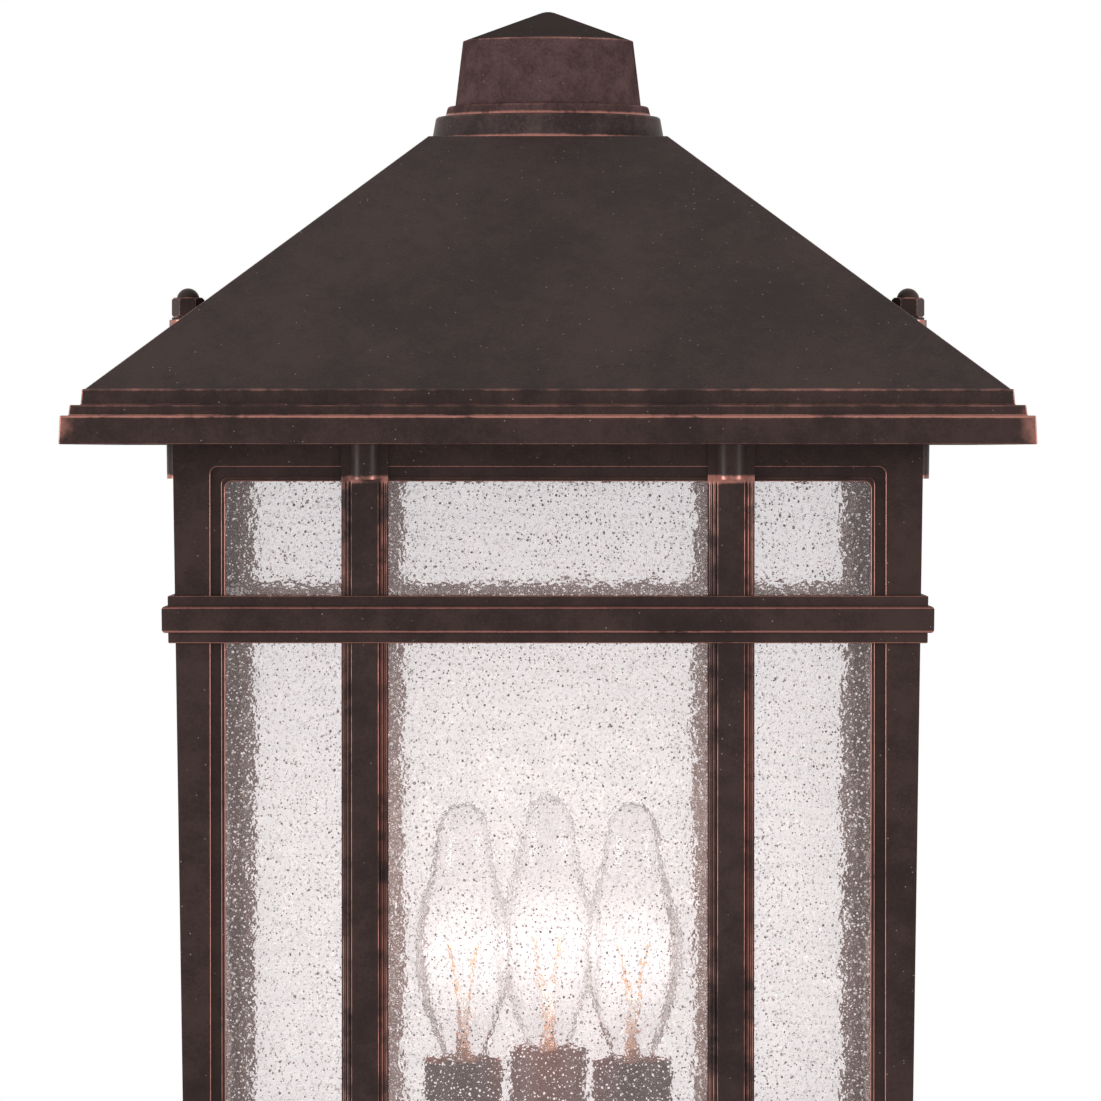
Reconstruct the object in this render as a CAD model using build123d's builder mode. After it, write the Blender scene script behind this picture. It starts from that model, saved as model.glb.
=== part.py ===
from build123d import *
from math import atan2, cos, degrees, radians, sin
import os

# A post top lantern: a square glazed cage under a hipped roof, on a stepped base and a round
# fitter that slips over a post.  The origin is the centre of the fitter's lower edge, +Z is up
# and the front looks along -Y.  All sizes are in millimetres.

# Post fitter and its set screws
post_radius = 38.1
post_clearance = 1.2
fitter_wall = 5.2
fitter_height = 66.0
fitter_bead_height = 6.0
fitter_bead_reach = 2.5
fitter_bead_round = 1.6
post_stop_thick = 6.0
post_stop_radius = 28.0
set_screw_count = 3
first_turn = 90
set_screw_height = 24.0
set_screw_radius = 3.0
set_screw_setback = 0.5
set_screw_head_radius = 6.0
set_screw_head_thick = 4.0
set_screw_head_gap = 2.6
set_screw_head_chamfer = 0.6
knurl_count = 18
knurl_radius = 0.45
set_screw_boss_radius = 7.5
set_screw_boss_reach = 4.5
fitter_screw_count = 3
fitter_screw_radius = 2.4
fitter_screw_head_radius = 4.6
fitter_screw_head_thick = 2.6
fitter_screw_circle = 33.2
fitter_screw_slot_width = 1.2
fitter_screw_slot_depth = 1.2
fitter_screw_tip_gap = 1.5

# Collar between the fitter and the base pan
fitter_collar_lower_height = 3.2
fitter_collar_lower_reach = 4.0
fitter_collar_upper_height = 4.8
fitter_collar_upper_reach = 7.5
fitter_collar_round = 1.2

# Base pan, from its flat underside up to the rim that the cage stands on
pan_under_half = 56.0
pan_slope_height = 14.0
pan_slope_setback = 5.4
pan_wall = 4.0
pan_step_heights = (4.0, 5.0, 6.0)
pan_step_reaches = (-1.4, 4.2, 9.6)
pan_edge_round = 0.6
pan_rim_width = 26.0
pan_rim_thick = 5.0
pan_screw_boss_radius = 6.5
pan_screw_boss_height = 5.0

# Cage: four leaning side frames with one moulded opening each
cage_foot_half = 114.4
cage_top_half = 118.7
cage_height = 304.0
frame_thick = 6.5
stile_width = 12.3
bottom_rail = 14.0
top_rail = 16.0
opening_corner = 2.2
trim_margin = 2.0
edge_match = 0.01
moulding_width = 4.6
moulding_depth = 1.2
bead_width = 1.3
bead_rise = 0.8
bead_round = 0.35
face_round = 0.4
rabbet_width = 4.3
rabbet_depth = 3.3

# Glass panes in the rabbets, and the clips that hold them
glass_thick = 3.0
glass_clearance = 0.4
clip_setback = 24.1
clip_width = 8.0
clip_overlap = 3.0
clip_thick = 1.0
clip_margin = 2.0
clip_foot_gap = 0.5
clip_corner = 1.2

# Mullion bars
mullion_offset = 57.9
mullion_width = 14.8
mullion_flat = 8.8
mullion_proud = 1.2
mullion_round = 0.4
ridge_width = 1.0
ridge_rise = 0.75
ridge_setback = 0.35
outer_ridge_share = 0.75
mullion_edge_proud = 0.3
tongue_width = 11.0
glazing_gap = 0.2
mullion_boss_radius = 4.7
mullion_boss_centre = 0.3
mullion_boss_overlap = 0.7
mullion_top_gap = 2.0

# Belt rails
belt_height = 244.4
belt_face_height = 8.4
belt_face_proud = 4.1
belt_lip_height = 3.3
belt_lip_proud = 2.2
belt_round = 1.1
belt_lip_round = 0.45
belt_pocket_clearance = 0.15

# Small screws that hold the cage together
screw_radius = 1.4
screw_length = 7.0
screw_head_radius = 2.4
screw_head_thick = 1.8
screw_head_round = 0.6
screw_slot_width = 0.7
screw_slot_depth = 0.8
screw_clearance = 0.05
top_screw_lift = 0.5
foot_screw_lift = 0.5
floor_screw_setback = 1.0
belt_screw_gap = 0.8

# Brackets and plates of the cage
bracket_thick = 1.5
corner_bracket_leg = 20.0
corner_bracket_height = 8.0
foot_bracket_width = 16.0
foot_bracket_height = 10.5
foot_bracket_leg = 14.0
top_plate_thick = 2.0
top_plate_margin = 6.6
top_plate_land = 20.7
top_plate_screw_offset = 40.0
floor_plate_thick = 1.5
floor_plate_clearance = 0.6
weep_hole_radius = 2.5
weep_hole_offset = 84.0

# Roof shell
eave_overhang = 33.8
eave_drop = 6.3
eave_height = 9.0
middle_band_inset = 2.9
middle_band_height = 3.3
upper_band_inset = 3.6
upper_band_height = 5.0
slope_inset = 1.3
band_draft = 0.4
roof_top_half = 39.0
roof_rise = 83.4
roof_wall = 3.0
roof_top_thick = 4.0
soffit_thick = 2.5
soffit_gap = 0.8
roof_edge_round = 0.5

# Roof studs, bosses and acorn nuts
stud_setout = 0.7
stud_radius = 2.45
stud_fit = 0.02
stud_hole_clearance = 0.3
stud_chamfer = 0.5
roof_boss_radius = 6.2
roof_boss_rise = 4.1
seal_thick = 0.8
seal_radius = 5.4
nut_flats = 9.4
nut_hex_height = 6.6
nut_corner_height = 0.8
nut_dome_foot = 1.0
nut_dome_radius = 3.8
nut_height = 9.7
nut_bore_depth = 7.4
nut_thread_clearance = 0.06
stud_nut_engagement = 5.6

# Roof collar and finial cap
roof_collar_radius = 38.5
roof_collar_top_radius = 37.1
roof_collar_height = 7.8
roof_collar_bore = 24.0
roof_collar_round = 1.2
cap_ring_radius = 34.1
cap_ring_top_radius = 33.2
cap_ring_height = 3.4
cap_ring_round = 0.8
drum_foot_radius = 30.8
drum_top_radius = 28.2
drum_height = 21.7
cone_height = 10.3
cone_tip_radius = 2.5
cap_wall = 4.0
cap_boss_radius = 7.0
cap_hole_spare = 2.0
finial_screw_radius = 2.9
finial_screw_length = 30.0
finial_head_flats = 10.0
finial_head_thick = 4.0
finial_washer_radius = 9.0
finial_washer_thick = 1.2
finial_hole_clearance = 0.4

# Socket plate and the three candles on it
socket_plate_radius = 58.0
socket_plate_height = 13.5
socket_plate_thick = 1.5
socket_plate_flange = 9.0
socket_plate_round = 3.0
candle_count = 3
candle_circle = 32.3
sleeve_radius = 12.8
sleeve_wall = 0.9
sleeve_length = 82.0
insulator_radius = 9.6
insulator_length = 40.0
insulator_setback = 3.0
insulator_floor = 14.0
insulator_round = 1.0
shell_wall = 0.45
shell_length = 21.0
shell_setback = 2.0
contact_thick = 0.8
contact_radius = 3.5
socket_bracket_width = 7.0
socket_bracket_thick = 1.2
socket_bracket_tail = 3.0
bracket_screw_offset = 2.5
plate_screw_radius = 1.9
plate_screw_length = 6.0
plate_screw_head_radius = 3.4
plate_screw_head_thick = 2.2

# Candelabra bulbs
bulb_base_radius = 5.9
bulb_base_lift = 0.8
bulb_contact_radius = 2.2
bulb_contact_height = 1.0
bulb_base_clearance = 0.25
bulb_base_wall = 0.5
bulb_base_floor = 1.2
bulb_neck_radius = 6.6
bulb_radius = 16.0
bulb_length = 87.2
bulb_widest = 39.0
bulb_glass_thick = 0.8
bulb_swell_share = (0.56, 0.42)
bulb_shoulder_share = (0.62, 0.62)
bulb_neck_direction = (0.18, 1)
bulb_tip_direction = (-1, 0.12)
stem_radius = 3.2
stem_length = 24.0
stem_round = 1.2
wire_root = 1.0
wire_radius = 0.4
filament_radius = 0.6
filament_height = 40.0
filament_span = 5.0

# Wiring
lead_radius = 1.1
lead_offset = 5.0
lead_bend = 6.6
lead_centre_offset = 3.2
lead_hole_clearance = 0.6
lead_end_gap = 0.5
grommet_radius = 9.0
grommet_bore = 5.4
grommet_lip = 1.8
connector_radius = 6.5
connector_tip_radius = 4.0
connector_length = 20.0
connector_mouth_depth = 5.0
connector_clearance = 0.3
connector_below_floor = 10.0
ground_screw_radius = 2.0
ground_screw_head_radius = 4.2
ground_screw_head_thick = 2.6
ground_screw_circle = 46.0

# Heights of the faces where the pieces meet
collar_bottom = fitter_height
pan_bottom = collar_bottom + fitter_collar_lower_height + fitter_collar_upper_height
pan_slope_top = pan_bottom + pan_slope_height
cage_bottom = pan_slope_top + sum(pan_step_heights)
cage_top = cage_bottom + cage_height
roof_seat = cage_top + top_plate_thick
eave_bottom = roof_seat - eave_drop
slope_bottom = eave_bottom + eave_height + middle_band_height + upper_band_height
roof_top = slope_bottom + roof_rise
cap_bottom = roof_top + roof_collar_height
drum_bottom = cap_bottom + cap_ring_height
drum_top = drum_bottom + drum_height
floor_top = cage_bottom + floor_plate_thick
candle_foot = floor_top + socket_plate_height
opening_bottom = cage_bottom + bottom_rail
opening_top = cage_top - top_rail

# Widths worked out from the sizes above
fitter_bore = post_radius + post_clearance
fitter_radius = fitter_bore + fitter_wall
eave_half = cage_top_half + eave_overhang
middle_band_half = eave_half - middle_band_inset
upper_band_half = middle_band_half - upper_band_inset
slope_half = upper_band_half - slope_inset
roof_slope = atan2(roof_rise, slope_half - roof_top_half)
stud_x = cage_top_half + stud_setout
opening_half = min(cage_foot_half, cage_top_half) - stile_width
clip_offset = opening_half - clip_setback
top_plate_opening = cage_top_half - top_plate_land
floor_half = cage_foot_half - frame_thick - floor_plate_clearance
pan_slope_half = cage_foot_half - pan_slope_setback
pan_rim_half = cage_foot_half + pan_step_reaches[-1]
pan_opening_half = pan_rim_half - pan_rim_width

# The face plane of the front side: x runs to the right, y climbs the face, z points outwards
lean = atan2(cage_top_half - cage_foot_half, cage_height)
face_outward = (0, -cos(lean), -sin(lean))
face_upward = (0, -sin(lean), cos(lean))
front_face = Plane(origin=(0, -cage_foot_half, cage_bottom), x_dir=(1, 0, 0), z_dir=face_outward)
front_back = front_face.offset(-frame_thick)
corner_planes = [Plane(origin=(0, 0, 0), z_dir=(1, 1, 0)), Plane(origin=(0, 0, 0), z_dir=(-1, 1, 0))]
sides = ("front", "right", "back", "left")


def up_face(height):
    """Distance up the leaning face of a point that lies this high above the fitter's edge."""
    return (height - cage_bottom) / cos(lean)


def half_at(height):
    """Half width of the cage's outer faces at a height."""
    share = (height - cage_bottom) / cage_height
    return cage_foot_half + share * (cage_top_half - cage_foot_half)


def slope_height(distance):
    """Height of the roof's outer slope at a distance from the middle, square to the eave."""
    return slope_bottom + (slope_half - distance) * roof_rise / (slope_half - roof_top_half)


def write(name, part):
    """Label a finished piece and write it to its own file."""
    part.label = name
    export_step(part, f"parts/{name}.step")


def write_sides(name, part):
    """Write the front side's piece, and its copies turned to the other three sides."""
    for turns, side in enumerate(sides):
        write(f"{name}_{side}", part.rotate(Axis.Z, 90 * turns))


def square_block(low, low_half, high, high_half, mode=Mode.ADD):
    """Four-sided block between two heights, straight or tapering."""
    with BuildSketch(Plane.XY.offset(low)) as lower:
        Rectangle(2 * low_half, 2 * low_half)
    with BuildSketch(Plane.XY.offset(high)) as upper:
        Rectangle(2 * high_half, 2 * high_half)
    loft(sections=[lower.sketch, upper.sketch], mode=mode)


def cut_to_side():
    """Trim the front side's piece at the two mitres."""
    for corner_plane in corner_planes:
        split(bisect_by=corner_plane, keep=Keep.BOTTOM)


def cut_to_height():
    """Trim a leaning piece flat where it stands on the pan and carries the top plate."""
    split(bisect_by=Plane.XY.offset(cage_bottom), keep=Keep.TOP)
    split(bisect_by=Plane.XY.offset(cage_top), keep=Keep.BOTTOM)


def ring(low, high, outer, inner, mode=Mode.ADD):
    """Round ring about the lantern's axis."""
    with BuildSketch(Plane.XY.offset(low)) as section:
        Circle(outer)
        if inner:
            Circle(inner, mode=Mode.SUBTRACT)
    extrude(section.sketch, amount=high - low, mode=mode)


os.makedirs("parts", exist_ok=True)

# ------------------------------------------------------------------ post fitter
# A cast tube with a bead at its lower edge and an inner ledge that the post stops against.
set_screw_planes = [
    Plane(origin=(0, 0, set_screw_height), x_dir=(0, 0, 1), z_dir=(cos(turn), sin(turn), 0))
    for turn in [radians(first_turn + 360 * step / set_screw_count) for step in range(set_screw_count)]
]
fitter_screw_turns = [
    first_turn + 360 * (step + 0.5) / fitter_screw_count for step in range(fitter_screw_count)
]
fitter_screw_spots = [
    (fitter_screw_circle * cos(radians(turn)), fitter_screw_circle * sin(radians(turn)))
    for turn in fitter_screw_turns
]
set_screw_boss_end = fitter_radius + set_screw_boss_reach

with BuildPart() as post_fitter:
    ring(0, fitter_height, fitter_radius, 0)
    ring(0, fitter_bead_height, fitter_radius + fitter_bead_reach, 0)
    fillet(post_fitter.edges().filter_by(GeomType.CIRCLE).group_by(SortBy.RADIUS)[-1], fitter_bead_round)
    for set_screw_plane in set_screw_planes:
        with BuildSketch(set_screw_plane):
            Circle(set_screw_boss_radius)
        extrude(amount=set_screw_boss_end)
    ring(0, fitter_height - post_stop_thick, fitter_bore, 0, Mode.SUBTRACT)
    ring(0, fitter_height, post_stop_radius, 0, Mode.SUBTRACT)
    for set_screw_plane in set_screw_planes:
        with BuildSketch(set_screw_plane):
            Circle(set_screw_radius + screw_clearance)
        extrude(amount=set_screw_boss_end, mode=Mode.SUBTRACT)
    with BuildSketch(Plane.XY.offset(fitter_height - post_stop_thick)):
        with Locations(*fitter_screw_spots):
            Circle(fitter_screw_radius + screw_clearance)
    extrude(amount=post_stop_thick, mode=Mode.SUBTRACT)
    with BuildSketch(Plane.XY.offset(fitter_height - post_stop_thick)):
        with Locations(*fitter_screw_spots):
            Circle(fitter_screw_head_radius + screw_clearance)
    extrude(amount=fitter_screw_head_thick, mode=Mode.SUBTRACT)
write("post_fitter", post_fitter.part)

# Set screws with knurled heads: at rest their tips stand clear of the bore
for number, set_screw_plane in enumerate(set_screw_planes, 1):
    head_start = set_screw_boss_end + set_screw_head_gap
    with BuildPart() as set_screw:
        with BuildSketch(set_screw_plane.offset(fitter_bore + set_screw_setback)):
            Circle(set_screw_radius)
        extrude(amount=head_start - fitter_bore - set_screw_setback)
        with BuildSketch(set_screw_plane.offset(head_start)):
            Circle(set_screw_head_radius)
        extrude(amount=set_screw_head_thick)
        rims = set_screw.edges().filter_by(GeomType.CIRCLE).group_by(SortBy.RADIUS)[-1]
        chamfer(rims, set_screw_head_chamfer)
        with BuildSketch(set_screw_plane.offset(head_start)):
            with PolarLocations(set_screw_head_radius, knurl_count):
                Circle(knurl_radius)
        extrude(amount=set_screw_head_thick, mode=Mode.SUBTRACT)
    write(f"set_screw_{number}", set_screw.part)

# ------------------------------------------------------------------ fitter collar
collar_lower_radius = fitter_radius + fitter_collar_lower_reach
collar_upper_radius = fitter_radius + fitter_collar_upper_reach
collar_step = collar_bottom + fitter_collar_lower_height

with BuildPart() as fitter_collar:
    ring(collar_bottom, collar_step, collar_lower_radius, 0)
    ring(collar_step, pan_bottom, collar_upper_radius, 0)
    collar_rims = fitter_collar.edges().filter_by(GeomType.CIRCLE).group_by(SortBy.RADIUS)[-1]
    fillet(collar_rims, fitter_collar_round)
    ring(collar_bottom, pan_bottom, post_stop_radius, 0, Mode.SUBTRACT)
    with BuildSketch(Plane.XY.offset(collar_bottom)):
        with Locations(*fitter_screw_spots):
            Circle(fitter_screw_radius + screw_clearance)
    extrude(amount=pan_bottom - collar_bottom, mode=Mode.SUBTRACT)
write("fitter_collar", fitter_collar.part)

# Screws from inside the fitter, up through the collar and into the pan
fitter_screw_bottom = fitter_height - post_stop_thick
fitter_screw_top = pan_bottom + pan_wall + pan_screw_boss_height - fitter_screw_tip_gap

with BuildPart() as fitter_screws:
    with BuildSketch(Plane.XY.offset(fitter_screw_bottom)):
        with Locations(*fitter_screw_spots):
            Circle(fitter_screw_head_radius)
    extrude(amount=fitter_screw_head_thick)
    with BuildSketch(Plane.XY.offset(fitter_screw_bottom)):
        with Locations(*fitter_screw_spots):
            Circle(fitter_screw_radius)
    extrude(amount=fitter_screw_top - fitter_screw_bottom)
    with BuildSketch(Plane.XY.offset(fitter_screw_bottom)):
        with Locations(*fitter_screw_spots):
            Rectangle(fitter_screw_slot_width, 2 * fitter_screw_head_radius)
    extrude(amount=fitter_screw_slot_depth, mode=Mode.SUBTRACT)
write("fitter_screws", fitter_screws.part)

# ------------------------------------------------------------------ the cage's small screws
# One slotted screw, used everywhere; its head's underside is the plane it is placed on.
with BuildPart() as small_screw:
    with BuildSketch(Plane.XY):
        Circle(screw_head_radius)
    extrude(amount=screw_head_thick)
    fillet(small_screw.edges().filter_by(GeomType.CIRCLE).sort_by(Axis.Z)[-1], screw_head_round)
    with BuildSketch(Plane.XY):
        Circle(screw_radius)
    extrude(amount=-screw_length)
    with BuildSketch(Plane.XY.offset(screw_head_thick)):
        Rectangle(2 * screw_head_radius, screw_slot_width)
    extrude(amount=-screw_slot_depth, mode=Mode.SUBTRACT)

top_clip_low = opening_top + rabbet_width - glass_clearance - clip_overlap
top_clip_high = cage_top - clip_margin
foot_clip_low = floor_top + clip_foot_gap
foot_clip_high = opening_bottom - rabbet_width + glass_clearance + clip_overlap
top_screw_height = (opening_top + rabbet_width + cage_top) / 2 + top_screw_lift
foot_screw_height = (floor_top + opening_bottom - rabbet_width) / 2
belt_middle = cage_bottom + belt_height
belt_inner_corner = half_at(belt_middle) - frame_thick
belt_screw_x = (opening_half + rabbet_width + belt_inner_corner) / 2
belt_screw_stagger = screw_head_radius + belt_screw_gap
top_inner_corner = half_at(top_screw_height) - frame_thick
corner_screw_x = top_inner_corner - corner_bracket_leg / 2
foot_screw_reach = foot_bracket_leg / 2 + floor_screw_setback


def back_plane(x, height, packing=0.0):
    """Plane on the back of the front side's frame, or on a piece this thick that lies on it."""
    lifted = front_back.offset(-packing)
    origin = lifted.from_local_coords((x, up_face(height), 0))
    return Plane(origin=origin, x_dir=(1, 0, 0), z_dir=-front_face.z_dir)


clip_screw_planes = [
    back_plane(x, height, clip_thick)
    for x in (-clip_offset, clip_offset)
    for height in (foot_screw_height, top_screw_height)
]
mullion_screw_planes = [
    back_plane(x, height)
    for x in (-mullion_offset, mullion_offset)
    for height in (foot_screw_height, top_screw_height)
]
belt_screw_planes = [
    back_plane(side * belt_screw_x, belt_middle + side * belt_screw_stagger) for side in (-1, 1)
]
bracket_screw_planes = [
    back_plane(-corner_screw_x, top_screw_height, bracket_thick),
    back_plane(corner_screw_x, top_screw_height, bracket_thick),
    back_plane(0, foot_screw_height + foot_screw_lift, bracket_thick),
]
top_plate_screw_planes = [
    Plane(origin=(x, -cage_top_half + frame_thick / 2, roof_seat))
    for x in (-top_plate_screw_offset, top_plate_screw_offset)
]
foot_bracket_face = cage_foot_half - frame_thick
floor_screw_plane = Plane(origin=(0, -foot_bracket_face + foot_screw_reach, floor_top + bracket_thick))
frame_screw_planes = (
    clip_screw_planes + mullion_screw_planes + belt_screw_planes + bracket_screw_planes
    + top_plate_screw_planes
)
side_screw_planes = frame_screw_planes + [floor_screw_plane]

with BuildPart() as side_screws:
    with Locations(*side_screw_planes):
        add(small_screw.part)

with BuildPart() as cage_screws:
    for turns in range(len(sides)):
        add(side_screws.part, rotation=(0, 0, 90 * turns))
write("cage_screws", cage_screws.part)


def screw_holes(planes):
    """Cut the holes of the small screws, which start on these planes."""
    with Locations(*[plane.offset(-screw_length / 2) for plane in planes]):
        Cylinder(screw_radius + screw_clearance, screw_length, mode=Mode.SUBTRACT)


# ------------------------------------------------------------------ base pan
# A cast dish: a sloping underside, three square steps and an inner rim flange for the cage.
step_halves = [cage_foot_half + reach for reach in pan_step_reaches]
pan_rim_bottom = cage_bottom - pan_rim_thick
pan_hollow_half = pan_slope_half - pan_wall

with BuildPart() as base_pan:
    square_block(pan_bottom, pan_under_half, pan_slope_top, pan_slope_half)
    step_bottom = pan_slope_top
    for step_height, step_half in zip(pan_step_heights, step_halves):
        square_block(step_bottom, step_half - band_draft, step_bottom + step_height, step_half)
        step_bottom += step_height
    chamfer(base_pan.edges().filter_by(Plane.XY).group_by(Axis.Z)[-1], pan_edge_round)
    square_block(
        pan_bottom + pan_wall, pan_under_half - pan_wall, pan_slope_top, pan_hollow_half, Mode.SUBTRACT
    )
    square_block(pan_slope_top, pan_hollow_half, pan_rim_bottom, pan_hollow_half, Mode.SUBTRACT)
    square_block(pan_rim_bottom, pan_opening_half, cage_bottom, pan_opening_half, Mode.SUBTRACT)
    with BuildSketch(Plane.XY.offset(pan_bottom)):
        with Locations(*fitter_screw_spots):
            Circle(pan_screw_boss_radius)
    extrude(amount=pan_wall + pan_screw_boss_height)
    ring(pan_bottom, pan_bottom + pan_wall + pan_screw_boss_height, post_stop_radius, 0, Mode.SUBTRACT)
    with BuildSketch(Plane.XY.offset(pan_bottom)):
        with Locations(*fitter_screw_spots):
            Circle(fitter_screw_radius + screw_clearance)
    extrude(amount=fitter_screw_top - pan_bottom, mode=Mode.SUBTRACT)
    with BuildSketch(Plane.XY.offset(pan_bottom)):
        with Locations((0, -ground_screw_circle)):
            Circle(ground_screw_radius + screw_clearance)
    extrude(amount=pan_wall, mode=Mode.SUBTRACT)
    for turns in range(len(sides)):
        screw_holes([Plane(origin=floor_screw_plane.origin.rotate(Axis.Z, 90 * turns))])
write("base_pan", base_pan.part)

# ------------------------------------------------------------------ side frames
# Each side is one casting: two stiles and two rails round an opening with a recessed moulding,
# a bead at its edge and a rabbet for the glass behind it.
opening_height = opening_top - opening_bottom
opening_middle = up_face((opening_top + opening_bottom) / 2)
face_length = up_face(cage_top)
draft_half = trim_margin * (cage_top_half - cage_foot_half) / face_length


def opening_outline(plane, margin, corner=0.0):
    """Sketch of the frame's opening, wider by this margin all round."""
    with BuildSketch(plane) as outline:
        with Locations((0, opening_middle)):
            if corner:
                RectangleRounded(2 * (opening_half + margin), opening_height + 2 * margin, corner)
            else:
                Rectangle(2 * (opening_half + margin), opening_height + 2 * margin)
    return outline.sketch


def inner_edges(frame, level, margin):
    """Edges of the frame round its opening, at this level off the face and within this margin."""
    low_corner = Vector(-opening_half - margin, opening_middle - opening_height / 2 - margin)
    edges = []
    for edge in frame.edges():
        centre = front_face.to_local_coords(edge.center())
        flat = abs(front_face.to_local_coords(edge @ 0).Z - level) < edge_match
        flat = flat and abs(front_face.to_local_coords(edge @ 1).Z - level) < edge_match
        inside = abs(centre.X) < -low_corner.X + edge_match
        inside = inside and abs(centre.Y - opening_middle) < opening_middle - low_corner.Y + edge_match
        if flat and inside:
            edges.append(edge)
    return edges


with BuildPart() as side_frame:
    with BuildSketch(front_face):
        with BuildLine():
            Polyline(
                (-cage_foot_half + draft_half, -trim_margin),
                (cage_foot_half - draft_half, -trim_margin),
                (cage_top_half + draft_half, face_length + trim_margin),
                (-cage_top_half - draft_half, face_length + trim_margin),
                close=True,
            )
        make_face()
    extrude(amount=-frame_thick)
    moulding = opening_outline(front_face, moulding_width, opening_corner)
    extrude(moulding, amount=-moulding_depth, mode=Mode.SUBTRACT)
    bead = opening_outline(front_face.offset(-moulding_depth), bead_width, opening_corner)
    extrude(bead, amount=bead_rise)
    through = opening_outline(front_face, 0, opening_corner)
    extrude(through, amount=-frame_thick, mode=Mode.SUBTRACT)
    fillet(inner_edges(side_frame, 0.0, moulding_width), face_round)
    fillet(inner_edges(side_frame, bead_rise - moulding_depth, bead_width), bead_round)
    rabbet = opening_outline(front_back, rabbet_width)
    extrude(rabbet, amount=rabbet_depth, mode=Mode.SUBTRACT)
    cut_to_side()
    cut_to_height()
    screw_holes(frame_screw_planes)
write_sides("side_frame", side_frame.part)

# ------------------------------------------------------------------ glass
glass_half = opening_half + rabbet_width - glass_clearance
glass_height = opening_height + 2 * (rabbet_width - glass_clearance)

with BuildPart() as glass:
    with BuildSketch(front_back.offset(rabbet_depth)):
        with Locations((0, opening_middle)):
            Rectangle(2 * glass_half, glass_height)
    extrude(amount=-glass_thick)
write_sides("glass", glass.part)

with BuildPart() as side_clips:
    with BuildSketch(front_back):
        for low, high in ((top_clip_low, top_clip_high), (foot_clip_low, foot_clip_high)):
            clip_middle = up_face((low + high) / 2)
            with Locations((-clip_offset, clip_middle), (clip_offset, clip_middle)):
                RectangleRounded(clip_width, high - low, clip_corner)
    extrude(amount=-clip_thick)
    screw_holes(clip_screw_planes)

with BuildPart() as glass_clips:
    for turns in range(len(sides)):
        add(side_clips.part, rotation=(0, 0, 90 * turns))
write("glass_clips", glass_clips.part)

# ------------------------------------------------------------------ mullions
# Two bars on each side.  A bar lies on both rails, a tongue behind it fills the opening's depth,
# fine ridges run down both its edges, and a half-round boss stands at its upper end.
ridge_start = mullion_flat / 2 + ridge_setback
ridge_pitch = (mullion_width / 2 - ridge_start) / 2


def mullion_plane(x, height):
    """Plane square to the face at a point of the mullion's middle line, y pointing outwards."""
    origin = front_face.from_local_coords((x, up_face(height), 0))
    return Plane(origin=origin, x_dir=(-1, 0, 0), z_dir=face_upward)


mullion_top = cage_top - mullion_top_gap
mullion_foot = cage_bottom
boss_foot = opening_top + mullion_boss_overlap

with BuildPart() as mullions:
    for bar_x in (-mullion_offset, mullion_offset):
        with BuildSketch(mullion_plane(bar_x, mullion_foot)) as bar_section:
            Rectangle(mullion_width, mullion_edge_proud, align=(Align.CENTER, Align.MIN))
            Rectangle(mullion_flat, mullion_proud, align=(Align.CENTER, Align.MIN))
            fillet(bar_section.vertices().group_by(Axis.Y)[-1], mullion_round)
            for ridge_number, rise in enumerate((ridge_rise, ridge_rise * outer_ridge_share)):
                ridge_x = ridge_start + ridge_pitch * ridge_number + ridge_width / 2
                with Locations((-ridge_x, 0), (ridge_x, 0)):
                    Ellipse(ridge_width / 2, rise)
            Rectangle(
                mullion_width, mullion_proud, align=(Align.CENTER, Align.MAX), mode=Mode.SUBTRACT
            )
        extrude(amount=up_face(opening_top) - up_face(mullion_foot))
        with BuildSketch(mullion_plane(bar_x, opening_top)):
            Rectangle(mullion_width, mullion_proud, align=(Align.CENTER, Align.MIN))
        extrude(amount=up_face(mullion_top) - up_face(opening_top))
        with BuildSketch(mullion_plane(bar_x, opening_bottom + glazing_gap)):
            tongue_depth = frame_thick - rabbet_depth - glazing_gap
            Rectangle(tongue_width, tongue_depth, align=(Align.CENTER, Align.MAX))
        extrude(amount=up_face(opening_top) - up_face(opening_bottom) - 2 * glazing_gap)
        with BuildSketch(mullion_plane(bar_x, boss_foot)):
            with Locations((0, mullion_boss_centre)):
                Circle(mullion_boss_radius)
            Rectangle(
                mullion_width, mullion_boss_radius, align=(Align.CENTER, Align.MAX), mode=Mode.SUBTRACT
            )
        extrude(amount=up_face(mullion_top) - up_face(boss_foot))
    cut_to_height()
    screw_holes(mullion_screw_planes)
write_sides("mullions", mullions.part)

# ------------------------------------------------------------------ belt rails
# A moulded strip round the cage, mitred at the corners, with a pocket over each mullion.
belt_section = Plane(
    origin=front_face.from_local_coords((0, up_face(belt_middle), 0)),
    x_dir=face_outward,
    z_dir=(-1, 0, 0),
)
belt_reach = cage_top_half + belt_face_proud
belt_half_height = belt_face_height / 2 + belt_lip_height

with BuildPart() as belt_rail:
    with BuildSketch(belt_section) as belt_profile:
        with Locations((0, 0)):
            Rectangle(belt_face_proud, belt_face_height, align=(Align.MIN, Align.CENTER))
            Rectangle(belt_lip_proud, 2 * belt_half_height, align=(Align.MIN, Align.CENTER))
        outer = belt_profile.vertices().group_by(Axis.X)[-1]
        fillet(outer, belt_round)
    extrude(amount=belt_reach, both=True)
    fillet(
        belt_rail.edges().filter_by(Axis.X).sort_by(Axis.Z)[-2:]
        + belt_rail.edges().filter_by(Axis.X).sort_by(Axis.Z)[:2],
        belt_lip_round,
    )
    cut_to_side()
    for bar_x in (-mullion_offset, mullion_offset):
        with BuildSketch(mullion_plane(bar_x, belt_middle - belt_half_height - trim_margin)):
            Rectangle(
                mullion_width + 2 * belt_pocket_clearance,
                mullion_proud + belt_pocket_clearance,
                align=(Align.CENTER, Align.MIN),
            )
        extrude(amount=2 * (belt_half_height + trim_margin), mode=Mode.SUBTRACT)
    screw_holes(belt_screw_planes)
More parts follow.
